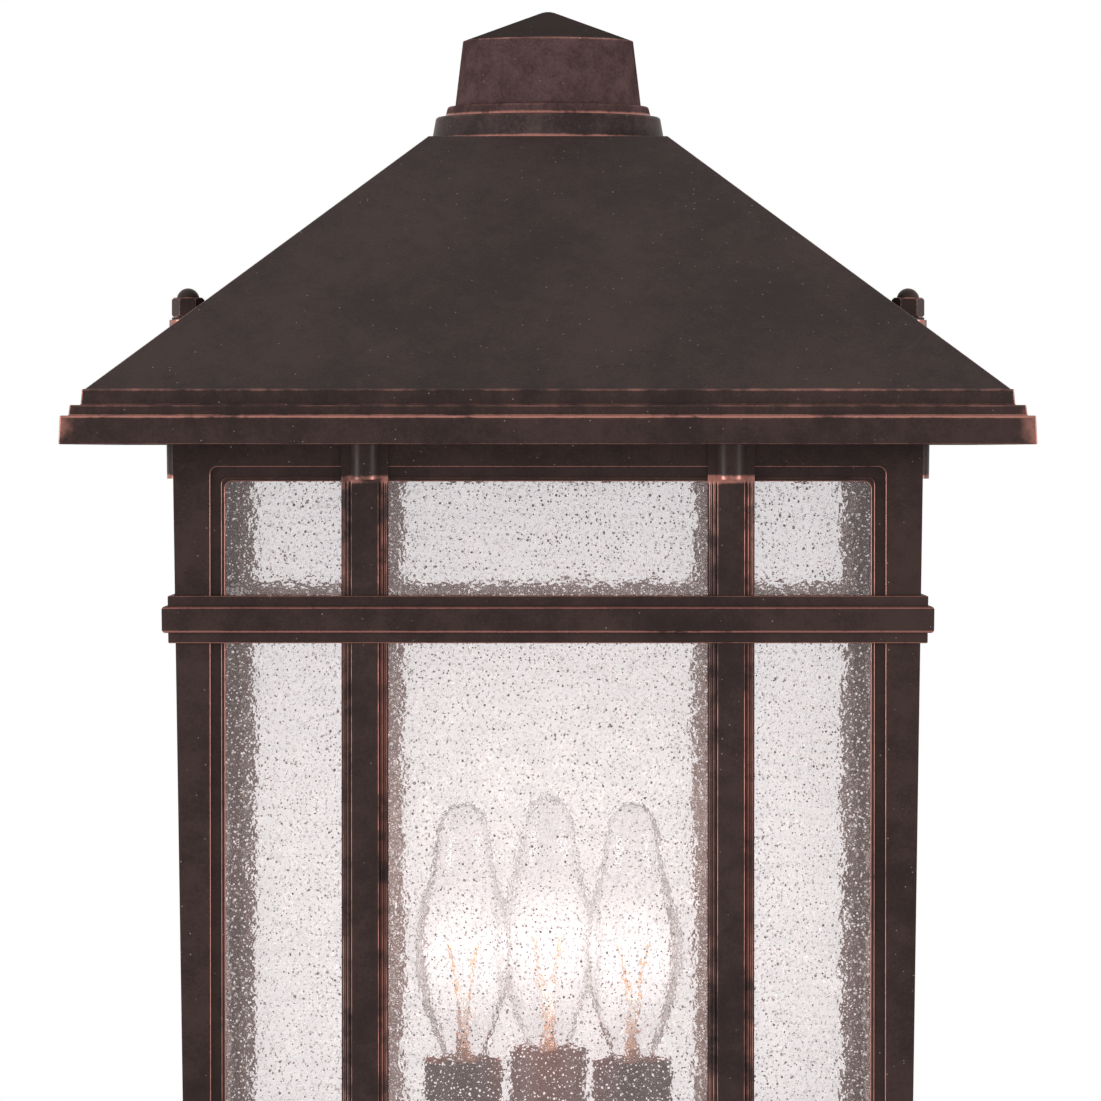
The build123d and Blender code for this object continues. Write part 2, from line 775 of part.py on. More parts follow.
write_sides("belt_rail", belt_rail.part)

# ------------------------------------------------------------------ brackets inside the cage
with BuildPart() as corner_bracket:
    with BuildSketch(front_back):
        with Locations((top_inner_corner, up_face(top_screw_height))):
            Rectangle(corner_bracket_leg, corner_bracket_height, align=(Align.MAX, Align.CENTER))
    extrude(amount=-bracket_thick)
    split(bisect_by=corner_planes[0], keep=Keep.BOTTOM)
    screw_holes(bracket_screw_planes)
    mirror(about=corner_planes[0])

with BuildPart() as corner_brackets:
    for turns in range(len(sides)):
        add(corner_bracket.part, rotation=(0, 0, 90 * turns))
write("corner_brackets", corner_brackets.part)

with BuildPart() as foot_bracket:
    with BuildSketch(front_back):
        with Locations((0, up_face(floor_top))):
            Rectangle(foot_bracket_width, foot_bracket_height, align=(Align.CENTER, Align.MIN))
    extrude(amount=-bracket_thick)
    with BuildSketch(Plane.XY.offset(floor_top)):
        with Locations((0, -foot_bracket_face + floor_plate_clearance)):
            Rectangle(foot_bracket_width, foot_bracket_leg, align=(Align.CENTER, Align.MIN))
    extrude(amount=bracket_thick)
    screw_holes([bracket_screw_planes[2], floor_screw_plane])

with BuildPart() as foot_brackets:
    for turns in range(len(sides)):
        add(foot_bracket.part, rotation=(0, 0, 90 * turns))
write("foot_brackets", foot_brackets.part)

# ------------------------------------------------------------------ plates of the cage
with BuildPart() as cage_top_plate:
    square_block(cage_top, stud_x + top_plate_margin, roof_seat, stud_x + top_plate_margin)
    square_block(cage_top, top_plate_opening, roof_seat, top_plate_opening, Mode.SUBTRACT)
    for turns in range(len(sides)):
        for plane in top_plate_screw_planes:
            screw_holes([Plane(origin=plane.origin.rotate(Axis.Z, 90 * turns))])
    with BuildSketch(Plane.XY.offset(cage_top)):
        with Locations((-stud_x, 0), (stud_x, 0)):
            Circle(stud_radius + stud_fit)
    extrude(amount=top_plate_thick, mode=Mode.SUBTRACT)
write("cage_top_plate", cage_top_plate.part)

# ------------------------------------------------------------------ roof
roof_skin_step = roof_wall / sin(roof_slope)
ceiling_spread = roof_top_thick * (slope_half - roof_top_half) / roof_rise
ceiling_half = roof_top_half + ceiling_spread - roof_skin_step
soffit_top = roof_seat + soffit_thick
soffit_opening = cage_top_half + soffit_gap
eave_top = eave_bottom + eave_height
middle_band_top = eave_top + middle_band_height
boss_top = slope_height(stud_x) + roof_boss_rise
stud_spots = [(-stud_x, 0), (stud_x, 0)]

with BuildPart() as roof_shell:
    square_block(eave_bottom, eave_half, eave_top, eave_half - band_draft)
    square_block(eave_top, middle_band_half, middle_band_top, middle_band_half - band_draft)
    square_block(middle_band_top, upper_band_half, slope_bottom, upper_band_half - band_draft)
    square_block(slope_bottom, slope_half, roof_top, roof_top_half)
    fillet(roof_shell.edges(), roof_edge_round)
    square_block(eave_bottom, eave_half - roof_wall, roof_seat, eave_half - roof_wall, Mode.SUBTRACT)
    square_block(roof_seat, soffit_opening, soffit_top, soffit_opening, Mode.SUBTRACT)
    square_block(
        soffit_top, slope_half - roof_skin_step, slope_bottom, slope_half - roof_skin_step, Mode.SUBTRACT
    )
    square_block(
        slope_bottom, slope_half - roof_skin_step, roof_top - roof_top_thick, ceiling_half, Mode.SUBTRACT
    )
    with BuildSketch(Plane.XY.offset(roof_seat)):
        with Locations(*stud_spots):
            Circle(roof_boss_radius)
    extrude(amount=boss_top - roof_seat)
    with BuildSketch(Plane.XY.offset(boss_top)):
        with Locations(*stud_spots):
            Circle(roof_boss_radius)
    extrude(amount=roof_boss_radius, mode=Mode.SUBTRACT)
    with BuildSketch(Plane.XY.offset(roof_seat)):
        with Locations(*stud_spots):
            Circle(stud_radius + stud_hole_clearance)
    extrude(amount=boss_top - roof_seat, mode=Mode.SUBTRACT)
    with BuildSketch(Plane.XY.offset(roof_top)):
        Circle(finial_screw_radius + finial_hole_clearance)
    extrude(amount=-roof_top_thick, mode=Mode.SUBTRACT)
write("roof_shell", roof_shell.part)

# Studs pressed into the top plate, which come up through the roof's bosses
nut_bottom = boss_top + seal_thick

with BuildPart() as roof_studs:
    with BuildSketch(Plane.XY.offset(cage_top)):
        with Locations(*stud_spots):
            Circle(stud_radius)
    extrude(amount=nut_bottom + stud_nut_engagement - cage_top)
    chamfer(roof_studs.edges().group_by(Axis.Z)[-1], stud_chamfer)
write("roof_studs", roof_studs.part)

with BuildPart() as cap_nut_washers:
    with BuildSketch(Plane.XY.offset(boss_top)):
        with Locations(*stud_spots):
            Circle(seal_radius)
            Circle(stud_radius + stud_hole_clearance, mode=Mode.SUBTRACT)
    extrude(amount=seal_thick)
write("cap_nut_washers", cap_nut_washers.part)

# Acorn nuts: a hexagon with a domed cap and a blind bore
dome_start = nut_height - nut_dome_radius
hex_corner = nut_flats / 2 / cos(radians(30))

with BuildPart() as acorn_nut:
    with BuildSketch(Plane.XY):
        RegularPolygon(nut_flats / 2, 6, major_radius=False)
    extrude(amount=nut_hex_height)
    with BuildSketch(Plane.XZ):
        with BuildLine():
            Polyline(
                (0, 0),
                (nut_flats / 2, 0),
                (hex_corner, nut_corner_height),
                (hex_corner, nut_hex_height - nut_corner_height),
                (nut_flats / 2, nut_hex_height),
                (0, nut_hex_height),
                close=True,
            )
        make_face()
    revolve(axis=Axis.Z, mode=Mode.INTERSECT)
    with BuildSketch(Plane.XZ):
        with BuildLine():
            Polyline(
                (nut_dome_radius, dome_start),
                (nut_dome_radius, nut_dome_foot),
                (0, nut_dome_foot),
                (0, nut_height),
            )
            RadiusArc((0, nut_height), (nut_dome_radius, dome_start), nut_dome_radius)
        make_face()
    revolve(axis=Axis.Z)
    with BuildSketch(Plane.XY):
        Circle(stud_radius + nut_thread_clearance)
    extrude(amount=nut_bore_depth, mode=Mode.SUBTRACT)

for side, (nut_x, nut_y) in zip(("left", "right"), stud_spots):
    write(f"cap_nut_{side}", Location((nut_x, nut_y, nut_bottom)) * acorn_nut.part)

# ------------------------------------------------------------------ roof collar and finial
with BuildPart() as roof_collar:
    with BuildSketch(Plane.XZ):
        with BuildLine():
            Polyline(
                (roof_collar_bore, roof_top),
                (roof_collar_radius, roof_top),
                (roof_collar_top_radius, cap_bottom),
                (roof_collar_bore, cap_bottom),
                close=True,
            )
        make_face()
    revolve(axis=Axis.Z)
    collar_edges = roof_collar.edges().filter_by(GeomType.CIRCLE)
    fillet(collar_edges.group_by(Axis.Z)[-1].sort_by(SortBy.RADIUS)[-1], roof_collar_round)
write("roof_collar", roof_collar.part)

cone_slope = atan2(cone_height, drum_top_radius)
tip_round = cone_tip_radius / sin(cone_slope)
tip_round_start = drum_top + cone_height - cone_tip_radius * sin(cone_slope) / cos(cone_slope)
finial_tip = tip_round_start + tip_round * (1 - cos(cone_slope))
cap_cavity = drum_top_radius - cap_wall
cap_ceiling = drum_top - cap_wall
cap_screw_bottom = roof_top - roof_top_thick - finial_washer_thick
cap_screw_top = cap_screw_bottom + finial_screw_length

with BuildPart() as finial_cap:
    with BuildSketch(Plane.XZ):
        with BuildLine():
            Polyline(
                (0, cap_bottom),
                (cap_ring_radius, cap_bottom),
                (cap_ring_top_radius, drum_bottom),
                (drum_foot_radius, drum_bottom),
                (drum_top_radius, drum_top),
                (cone_tip_radius, tip_round_start),
            )
            RadiusArc((cone_tip_radius, tip_round_start), (0, finial_tip), -tip_round)
            Line((0, finial_tip), (0, cap_bottom))
        make_face()
    revolve(axis=Axis.Z)
    cap_edges = finial_cap.edges().filter_by(GeomType.CIRCLE)
    fillet(cap_edges.group_by(Axis.Z)[1].sort_by(SortBy.RADIUS)[-1], cap_ring_round)
    ring(cap_bottom, cap_ceiling, cap_cavity, 0, Mode.SUBTRACT)
    ring(cap_bottom, cap_ceiling, cap_boss_radius, 0)
    cap_hole_top = cap_screw_top + cap_hole_spare
    ring(cap_bottom, cap_hole_top, finial_screw_radius + screw_clearance, 0, Mode.SUBTRACT)
write("finial_cap", finial_cap.part)

with BuildPart() as finial_screw:
    with BuildSketch(Plane.XY.offset(cap_screw_bottom)):
        RegularPolygon(finial_head_flats / 2, 6, major_radius=False)
    extrude(amount=-finial_head_thick)
    ring(cap_screw_bottom, cap_screw_top, finial_screw_radius, 0)
write("finial_screw", finial_screw.part)

with BuildPart() as finial_washer:
    ring(
        cap_screw_bottom,
        cap_screw_bottom + finial_washer_thick,
        finial_washer_radius,
        finial_screw_radius + finial_hole_clearance,
    )
write("finial_washer", finial_washer.part)

# ------------------------------------------------------------------ socket plate
candle_turns = [first_turn + 360 * step / candle_count for step in range(candle_count)]
half_step = 180 / candle_count
candle_planes = [
    Plane(
        origin=(candle_circle * cos(radians(turn)), candle_circle * sin(radians(turn)), candle_foot),
        x_dir=(cos(radians(turn)), sin(radians(turn)), 0),
        z_dir=(0, 0, 1),
    )
    for turn in candle_turns
]
flange_radius = socket_plate_radius + socket_plate_flange
flange_screw_circle = socket_plate_radius + socket_plate_flange / 2
flange_screw_planes = [
    Plane(
        origin=(
            flange_screw_circle * cos(radians(turn + half_step)),
            flange_screw_circle * sin(radians(turn + half_step)),
            floor_top + socket_plate_thick,
        )
    )
    for turn in candle_turns
]
lead_hole_x = -lead_offset
bracket_foot_planes = [
    Plane(origin=plane.from_local_coords((bracket_screw_offset, 0, socket_bracket_thick)))
    for plane in candle_planes
]

with BuildPart() as plate_screw:
    with BuildSketch(Plane.XY):
        Circle(plate_screw_head_radius)
    extrude(amount=plate_screw_head_thick)
    with BuildSketch(Plane.XY):
        Circle(plate_screw_radius)
    extrude(amount=-plate_screw_length)
    with BuildSketch(Plane.XY.offset(plate_screw_head_thick)):
        Rectangle(2 * plate_screw_head_radius, screw_slot_width)
    extrude(amount=-screw_slot_depth, mode=Mode.SUBTRACT)

with BuildPart() as plate_screws:
    with Locations(*flange_screw_planes, *bracket_foot_planes):
        add(plate_screw.part)
write("plate_screws", plate_screws.part)


def plate_screw_holes(planes):
    """Cut the holes of the plate screws, which start on these planes."""
    with Locations(*[plane.offset(-plate_screw_length / 2) for plane in planes]):
        Cylinder(plate_screw_radius + screw_clearance, plate_screw_length, mode=Mode.SUBTRACT)


with BuildPart() as floor_plate:
    square_block(cage_bottom, floor_half, floor_top, floor_half)
    with BuildSketch(Plane.XY.offset(cage_bottom)):
        Circle(grommet_bore + grommet_lip)
        with GridLocations(2 * weep_hole_offset, 2 * weep_hole_offset, 2, 2):
            Circle(weep_hole_radius)
    extrude(amount=floor_plate_thick, mode=Mode.SUBTRACT)
    for turns in range(len(sides)):
        screw_holes([Plane(origin=floor_screw_plane.origin.rotate(Axis.Z, 90 * turns))])
    plate_screw_holes(flange_screw_planes)
write("floor_plate", floor_plate.part)

with BuildPart() as socket_plate:
    ring(floor_top, floor_top + socket_plate_thick, flange_radius, 0)
    ring(floor_top, candle_foot, socket_plate_radius, 0)
    fillet(socket_plate.edges().group_by(Axis.Z)[-1], socket_plate_round)
    ring(
        floor_top, candle_foot - socket_plate_thick, socket_plate_radius - socket_plate_thick, 0,
        Mode.SUBTRACT,
    )
    for plane in candle_planes:
        with BuildSketch(plane):
            with Locations((lead_hole_x, 0)):
                Circle(lead_radius + lead_hole_clearance)
        extrude(amount=-socket_plate_thick, mode=Mode.SUBTRACT)
    plate_screw_holes(flange_screw_planes + bracket_foot_planes)
write("socket_plate", socket_plate.part)

# ------------------------------------------------------------------ candles
insulator_foot = sleeve_length - insulator_setback - insulator_length
shell_foot = sleeve_length - insulator_setback - shell_setback - shell_length
shell_inner = bulb_base_radius + bulb_base_clearance
shell_outer = shell_inner + shell_wall
bracket_riser_x = sleeve_radius - sleeve_wall - 2 * socket_bracket_thick
bracket_tab_low = insulator_foot - socket_bracket_thick
bracket_arm = bracket_riser_x + socket_bracket_tail

with BuildPart() as candle_sleeve:
    ring(0, sleeve_length, sleeve_radius, sleeve_radius - sleeve_wall)

with BuildPart() as socket_bracket:
    with BuildSketch(Plane.XY):
        with Locations((bracket_riser_x, 0)):
            Rectangle(bracket_arm, socket_bracket_width, align=(Align.MAX, Align.CENTER))
        with Locations((-lead_offset, 0)):
            Circle(lead_radius + lead_hole_clearance, mode=Mode.SUBTRACT)
    extrude(amount=socket_bracket_thick)
    with BuildSketch(Plane.XY):
        with Locations((bracket_riser_x, 0)):
            Rectangle(socket_bracket_thick, socket_bracket_width, align=(Align.MAX, Align.CENTER))
    extrude(amount=insulator_foot)
    with BuildSketch(Plane.XY.offset(bracket_tab_low)):
        with Locations((bracket_riser_x, 0)):
            Rectangle(bracket_arm, socket_bracket_width, align=(Align.MAX, Align.CENTER))
    extrude(amount=socket_bracket_thick)
    plate_screw_holes([Plane(origin=(bracket_screw_offset, 0, socket_bracket_thick))])

with BuildPart() as insulator:
    ring(insulator_foot, insulator_foot + insulator_length, insulator_radius, 0)
    fillet(insulator.edges().group_by(Axis.Z)[0], insulator_round)
    ring(
        insulator_foot + insulator_floor, insulator_foot + insulator_length,
        shell_outer + screw_clearance, 0, Mode.SUBTRACT,
    )

with BuildPart() as screw_shell:
    ring(shell_foot, shell_foot + shell_length, shell_outer, shell_inner)

with BuildPart() as contact:
    ring(
        insulator_foot + insulator_floor, insulator_foot + insulator_floor + contact_thick,
        contact_radius, 0,
    )

for number, plane in enumerate(candle_planes, 1):
    write(f"candle_sleeve_{number}", plane.location * candle_sleeve.part)

socket_pieces = {
    "socket_brackets": socket_bracket,
    "socket_insulators": insulator,
    "screw_shells": screw_shell,
    "centre_contacts": contact,
}
for piece_name, piece in socket_pieces.items():
    with BuildPart() as trio:
        with Locations(*candle_planes):
            add(piece.part)
    write(piece_name, trio.part)

# ------------------------------------------------------------------ bulbs
# A torpedo-shaped glass on a brass base; inside, a glass stem with two wires and the filament.
contact_top = insulator_foot + insulator_floor + contact_thick
base_low = contact_top + bulb_contact_height
base_high = insulator_foot + insulator_length + bulb_base_lift
neck_low = base_high
tip_high = neck_low + bulb_length
widest = neck_low + bulb_widest


def bulb_outline(inset):
    """Half outline of the bulb's glass, drawn inwards from its outer surface."""
    top = tip_high - inset
    wide = bulb_radius - inset
    neck = bulb_neck_radius - inset
    shoulder = (wide * bulb_shoulder_share[0], widest + (top - widest) * bulb_shoulder_share[1])
    swell_radius = neck + (wide - neck) * bulb_swell_share[0]
    swell = (swell_radius, neck_low + (widest - neck_low) * bulb_swell_share[1])
    Line((0, neck_low), (neck, neck_low))
    Spline((neck, neck_low), swell, (wide, widest), tangents=(bulb_neck_direction, (0, 1)))
    Spline((wide, widest), shoulder, (0, top), tangents=((0, 1), bulb_tip_direction))
    Line((0, top), (0, neck_low))


with BuildPart() as bulb_glass:
    with BuildSketch(Plane.XZ):
        with BuildLine():
            bulb_outline(0)
        make_face()
    revolve(axis=Axis.Z)
    with BuildSketch(Plane.XZ):
        with BuildLine():
            bulb_outline(bulb_glass_thick)
        make_face()
    revolve(axis=Axis.Z, mode=Mode.SUBTRACT)

with BuildPart() as bulb_base:
    ring(base_low, base_high, bulb_base_radius, bulb_base_radius - bulb_base_wall)
    ring(base_low, base_low + bulb_base_floor, bulb_base_radius, 0)
    ring(contact_top, base_low, bulb_contact_radius, 0)

with BuildPart() as filament:
    ring(base_low + bulb_base_floor, neck_low + stem_length, stem_radius, 0)
    fillet(filament.edges().group_by(Axis.Z)[-1], stem_round)
    for wire_x in (-stem_radius / 2, stem_radius / 2):
        with BuildSketch(Plane.XY.offset(neck_low + stem_length - wire_root)):
            with Locations((wire_x, 0)):
                Circle(wire_radius)
        extrude(amount=filament_height - stem_length + wire_root)
    with BuildSketch(Plane.YZ.offset(-filament_span)):
        with Locations((0, neck_low + filament_height + filament_radius)):
            Circle(filament_radius)
    extrude(amount=2 * filament_span)

for number, plane in enumerate(candle_planes, 1):
    write(f"bulb_glass_{number}", plane.location * bulb_glass.part)
    write(f"bulb_base_{number}", plane.location * bulb_base.part)
    write(f"filament_{number}", plane.location * filament.part)

# ------------------------------------------------------------------ wiring
# Each candle's lead runs down inside its sleeve, across under the socket plate, down through the
# grommet in the floor plate and into the wire connector.
lead_run_height = floor_top + socket_plate_height / 2 - socket_plate_thick
connector_top = cage_bottom - connector_below_floor
lead_end = connector_top - connector_mouth_depth + lead_end_gap
lead_sag = candle_foot - lead_run_height

with BuildPart() as lead:
    with BuildLine() as lead_route:
        FilletPolyline(
            (lead_hole_x, 0, insulator_foot),
            (lead_hole_x, 0, -lead_sag),
            (lead_centre_offset - candle_circle, 0, -lead_sag),
            (lead_centre_offset - candle_circle, 0, lead_end - candle_foot),
            radius=lead_bend,
        )
    with BuildSketch(Plane(origin=lead_route.line @ 0, z_dir=lead_route.line % 0)):
        Circle(lead_radius)
    sweep()

with BuildPart() as socket_leads:
    with Locations(*candle_planes):
        add(lead.part)
write("socket_leads", socket_leads.part)

with BuildPart() as floor_grommet:
    ring(cage_bottom - grommet_lip, cage_bottom, grommet_radius, 0)
    ring(cage_bottom, floor_top, grommet_bore + grommet_lip - screw_clearance, 0)
    ring(floor_top, floor_top + grommet_lip, grommet_radius, 0)
    ring(cage_bottom - grommet_lip, floor_top + grommet_lip, grommet_bore, 0, Mode.SUBTRACT)
write("floor_grommet", floor_grommet.part)

with BuildPart() as wire_connector:
    with BuildSketch(Plane.XY.offset(connector_top - connector_length)):
        Circle(connector_tip_radius)
    with BuildSketch(Plane.XY.offset(connector_top)):
        Circle(connector_radius)
    loft()
    ring(
        connector_top - connector_mouth_depth, connector_top,
        lead_centre_offset + lead_radius + connector_clearance, 0, Mode.SUBTRACT,
    )
write("wire_connector", wire_connector.part)

with BuildPart() as ground_screw:
    with BuildSketch(Plane.XY.offset(pan_bottom + pan_wall)):
        with Locations((0, -ground_screw_circle)):
            RegularPolygon(ground_screw_head_radius, 6)
    extrude(amount=ground_screw_head_thick)
    with BuildSketch(Plane.XY.offset(pan_bottom)):
        with Locations((0, -ground_screw_circle)):
            Circle(ground_screw_radius)
    extrude(amount=pan_wall)
write("ground_screw", ground_screw.part)
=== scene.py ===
import math

import bpy
import numpy as np
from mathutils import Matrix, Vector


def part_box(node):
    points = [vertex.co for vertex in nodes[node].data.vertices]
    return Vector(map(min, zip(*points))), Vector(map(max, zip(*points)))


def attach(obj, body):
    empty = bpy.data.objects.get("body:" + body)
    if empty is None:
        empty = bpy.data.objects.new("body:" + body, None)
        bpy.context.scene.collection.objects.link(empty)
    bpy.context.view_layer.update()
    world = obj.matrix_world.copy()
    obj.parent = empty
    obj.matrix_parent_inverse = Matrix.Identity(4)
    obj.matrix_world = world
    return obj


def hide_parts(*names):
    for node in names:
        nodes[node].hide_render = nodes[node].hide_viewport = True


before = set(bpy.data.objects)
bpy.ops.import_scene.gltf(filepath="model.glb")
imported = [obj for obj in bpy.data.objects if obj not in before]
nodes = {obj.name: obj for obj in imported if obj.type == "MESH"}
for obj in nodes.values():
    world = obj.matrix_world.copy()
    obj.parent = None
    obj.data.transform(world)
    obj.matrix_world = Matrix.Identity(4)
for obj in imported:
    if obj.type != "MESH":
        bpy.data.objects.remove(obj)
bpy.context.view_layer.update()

# ---------------------------------------------------------------- the picture
# A long lens, level with the cage's top rail, looks slightly down at the front.
# The object stands on pale studio paper, and everything behind it is white.
camera_place = (0.0008, -2.4865, 0.401)
camera_pitch = -0.77
camera_lens = 245.0

view = bpy.data.cameras.new("picture")
view.lens = camera_lens
view.sensor_width = 36.0
view.clip_start = 0.05
camera = bpy.data.objects.new("picture", view)
camera.location = camera_place
camera.rotation_euler = (math.radians(90 + camera_pitch), 0, 0)
bpy.context.scene.collection.objects.link(camera)
bpy.context.scene.camera = camera
bpy.context.scene.view_settings.view_transform = "Standard"


class Tone:
    """One socket of a finish: arithmetic on it adds Math nodes, and node() adds any other."""

    def __init__(self, tree, socket=None):
        self.tree = tree
        self.socket = socket

    def node(self, kind, settings=None, inputs=None, output=0):
        """A new node: its settings come first, and then its sockets get their values or links."""
        made = self.tree.nodes.new("ShaderNode" + kind)
        for name, value in (settings or {}).items():
            setattr(made, name, value)
        for name, value in (inputs or {}).items():
            if isinstance(value, Tone):
                self.tree.links.new(value.socket, made.inputs[name])
            else:
                made.inputs[name].default_value = value
        return Tone(self.tree, made.outputs[output] if made.outputs else None)

    def sum(self, operation, first, second):
        return self.node("Math", {"operation": operation}, {0: first, 1: second})

    def __add__(self, other):
        return self.sum("ADD", self, other)

    def __sub__(self, other):
        return self.sum("SUBTRACT", self, other)

    def __rsub__(self, other):
        return self.sum("SUBTRACT", other, self)

    def __mul__(self, other):
        return self.sum("MULTIPLY", self, other)

    def __pow__(self, other):
        return self.sum("POWER", self, other)

    __radd__ = __add__
    __rmul__ = __mul__

    def size(self):
        return self.sum("ABSOLUTE", self, 0.0)

    def at_least(self, other):
        return self.sum("MAXIMUM", self, other)

    def at_most(self, other):
        return self.sum("MINIMUM", self, other)

    def rise(self, low, high):
        """0 below low and 1 above high, with a smooth climb between them."""
        climb = {"Value": self, "From Min": low, "From Max": high}
        return self.node("MapRange", {"interpolation_type": "SMOOTHSTEP"}, climb)

    def between(self, first, second):
        """The first colour where this socket is 0, and the second where it is 1."""
        return self.node("Mix", {"data_type": "RGBA"}, {0: self, 6: first, 7: second}, 2)


def rgb(red, green, blue):
    return (red, green, blue, 1.0)


def new_finish(name):
    """An empty material, and the Tone that its nodes are added through."""
    material = bpy.data.materials.new(name)
    material.use_nodes = True
    material.node_tree.nodes.clear()
    return material, Tone(material.node_tree)


paper, tone = new_finish("studio_paper")
grain = tone.node("TexNoise", None, {"Vector": tone.node("TexCoord", None, None, "Object"), "Scale": 900.0})
shader = tone.node("BsdfPrincipled", None, {
    "Base Color": grain.between(rgb(0.86, 0.86, 0.86), rgb(0.92, 0.92, 0.92)),
    "Roughness": 0.9,
    "Specular IOR Level": 0.1,
})
tone.node("OutputMaterial", None, {"Surface": shader})

floor_radius = 1.6
floor_corners = 96
turns = np.linspace(0, 2 * math.pi, floor_corners, endpoint=False)
rim = np.stack([floor_radius * np.cos(turns), floor_radius * np.sin(turns), 0 * turns], 1)
floor_mesh = bpy.data.meshes.new("floor")
floor_mesh.from_pydata(rim.tolist(), [], [list(range(floor_corners))])
floor = bpy.data.objects.new("floor", floor_mesh)
floor_mesh.materials.append(paper)
bpy.context.scene.collection.objects.link(floor)

# The sky lights the object softly, and is plain white where it is seen, through glass or in gloss.
sky_strength = 0.46
world = bpy.data.worlds.new("studio")
bpy.context.scene.world = world
world.use_nodes = True
world.node_tree.nodes.clear()
tone = Tone(world.node_tree)
seen = tone.node("LightPath", None, None, "Is Camera Ray")
for ray in ("Is Transmission Ray", "Is Glossy Ray"):
    seen = seen.at_least(tone.node("LightPath", None, None, ray))
strength = sky_strength + (1 - sky_strength) * seen
sky = tone.node("Background", None, {"Color": rgb(1, 1, 1), "Strength": strength})
tone.node("OutputWorld", None, {"Surface": sky})

softbox_size = 0.8
lamp_target = (0, 0, 0.3)
for name, place, power in (
    ("left_softbox", (-2.0, -1.1, 0.45), 24.0),
    ("right_softbox", (2.0, -1.1, 0.45), 20.0),
):
    lamp = bpy.data.lights.new(name, "AREA")
    lamp.size = softbox_size
    lamp.energy = power
    lamp_object = bpy.data.objects.new(name, lamp)
    lamp_object.location = place
    # A lamp shines along its own -Z, so it is tilted up by the first angle and turned by the last
    aim = np.array(lamp_target) - np.array(place)
    flat = math.hypot(aim[0], aim[1])
    lamp_object.rotation_euler = (math.atan2(flat, -aim[2]), 0, math.atan2(aim[1], aim[0]) - math.pi / 2)
    bpy.context.scene.collection.objects.link(lamp_object)


def dress(material, *names):
    """Gives CAD pieces their finish through their material slots."""
    for name in names:
        nodes[name].material_slots[0].material = material


# ------------------------------------------------- post fitter, collar and base pan
# Sand-cast aluminium under a dark oil-rubbed bronze paint, which is rubbed back to a
# copper tone along every edge.  The fitter slips over the post and carries the pan.
dark_paint = rgb(0.025, 0.0140, 0.0128)
brown_paint = rgb(0.054, 0.0310, 0.0275)
copper_rub = rgb(0.47, 0.205, 0.165)
bare_speck = rgb(0.50, 0.42, 0.40)


def rubbed_bronze(name, edge_of, dark=dark_paint, brown=brown_paint, gloss=0.16, painted_shade=None):
    """Bronze paint: noise of three scales runs it between dark and brown, and pale specks lie in
    it.  edge_of(tone, place) is 1 on an edge and 0 away from one; the unevenly rubbed paint
    there turns copper, smoother and partly bare.  gloss is the paint's own specular level.
    The last argument is a pair: a function like edge_of, and a darker paint laid where it is 1 as a painted
    shade."""
    material, tone = new_finish(name)
    place = tone.node("TexCoord", None, None, "Object")
    cloud = tone.node("TexNoise", None, {"Vector": place, "Scale": 22.0, "Detail": 6.0, "Roughness": 0.62})
    smear = tone.node("TexNoise", None, {"Vector": place, "Scale": 150.0, "Detail": 4.0, "Roughness": 0.65})
    grain = tone.node("TexNoise", None, {"Vector": place, "Scale": 1100.0, "Detail": 3.0, "Roughness": 0.75})
    speck_cells = {"Vector": place, "Scale": 380.0}
    specks = tone.node("TexVoronoi", None, speck_cells)
    draw = tone.node("TexVoronoi", None, speck_cells, "Color")
    chance = tone.node("SeparateXYZ", None, {0: draw}, "X")
    uneven = 0.55 * smear.rise(0.30, 0.70) + 0.65 * cloud.rise(0.32, 0.68)
    worn = (edge_of(tone, place) * (0.28 + 1.10 * uneven)).rise(0.22, 0.72)
    speck = (1 - specks.rise(0.05, 0.11)) * chance.rise(0.45, 0.95)
    paint = (0.50 * cloud + 0.30 * smear + 0.28 * grain).rise(0.42, 0.66).between(dark, brown)
    # Painted shade: a darker paint where the pair's function is 1.
    if painted_shade:
        paint = painted_shade[0](tone, place).between(paint, painted_shade[1])
    paint = (0.55 * speck).between(paint, bare_speck)
    colour = (0.90 * worn * (0.62 + 0.6 * grain)).between(paint, copper_rub)
    height = 0.8 * grain + 0.6 * smear - 1.0 * speck - 0.4 * worn
    shader = tone.node("BsdfPrincipled", None, {
        "Base Color": colour,
        "Metallic": 0.5 * worn,
        "Roughness": 0.40 - 0.12 * worn + 0.25 * (smear - 0.5),
        "Specular IOR Level": gloss,
        "Normal": tone.node("Bump", None, {"Strength": 0.7, "Distance": 0.00009, "Height": height}),
    })
    tone.node("OutputMaterial", None, {"Surface": shader})
    return material


def square_edges(tone, place, slope=0.0):
    """How far the surface's normal is from the piece's flat faces: 1 minus the largest of its
    parts along X, Y and Z and along faces that slope by this angle, stretched to run to 1."""
    normal = tone.node("TexCoord", None, None, "Normal")
    parts = [tone.node("SeparateXYZ", None, {0: normal}, axis).size() for axis in ("X", "Y", "Z")]
    across = parts[0].at_least(parts[1])
    flat = across.at_least(parts[2])
    if slope:
        flat = flat.at_least(math.sin(slope) * across + math.cos(slope) * parts[2])
    return (1 - flat).rise(0.015, 0.12)


def round_edges(tone, place, reach=0.0007):
    """How much of a half sphere of rays, shot inwards as far as reach, leaves the metal again,
    stretched to run from 0 to 1."""
    inner = tone.node(
        "AmbientOcclusion", {"samples": 8, "inside": True, "only_local": True}, {"Distance": reach}, "AO"
    )
    return (1 - inner).rise(0.08, 0.42)


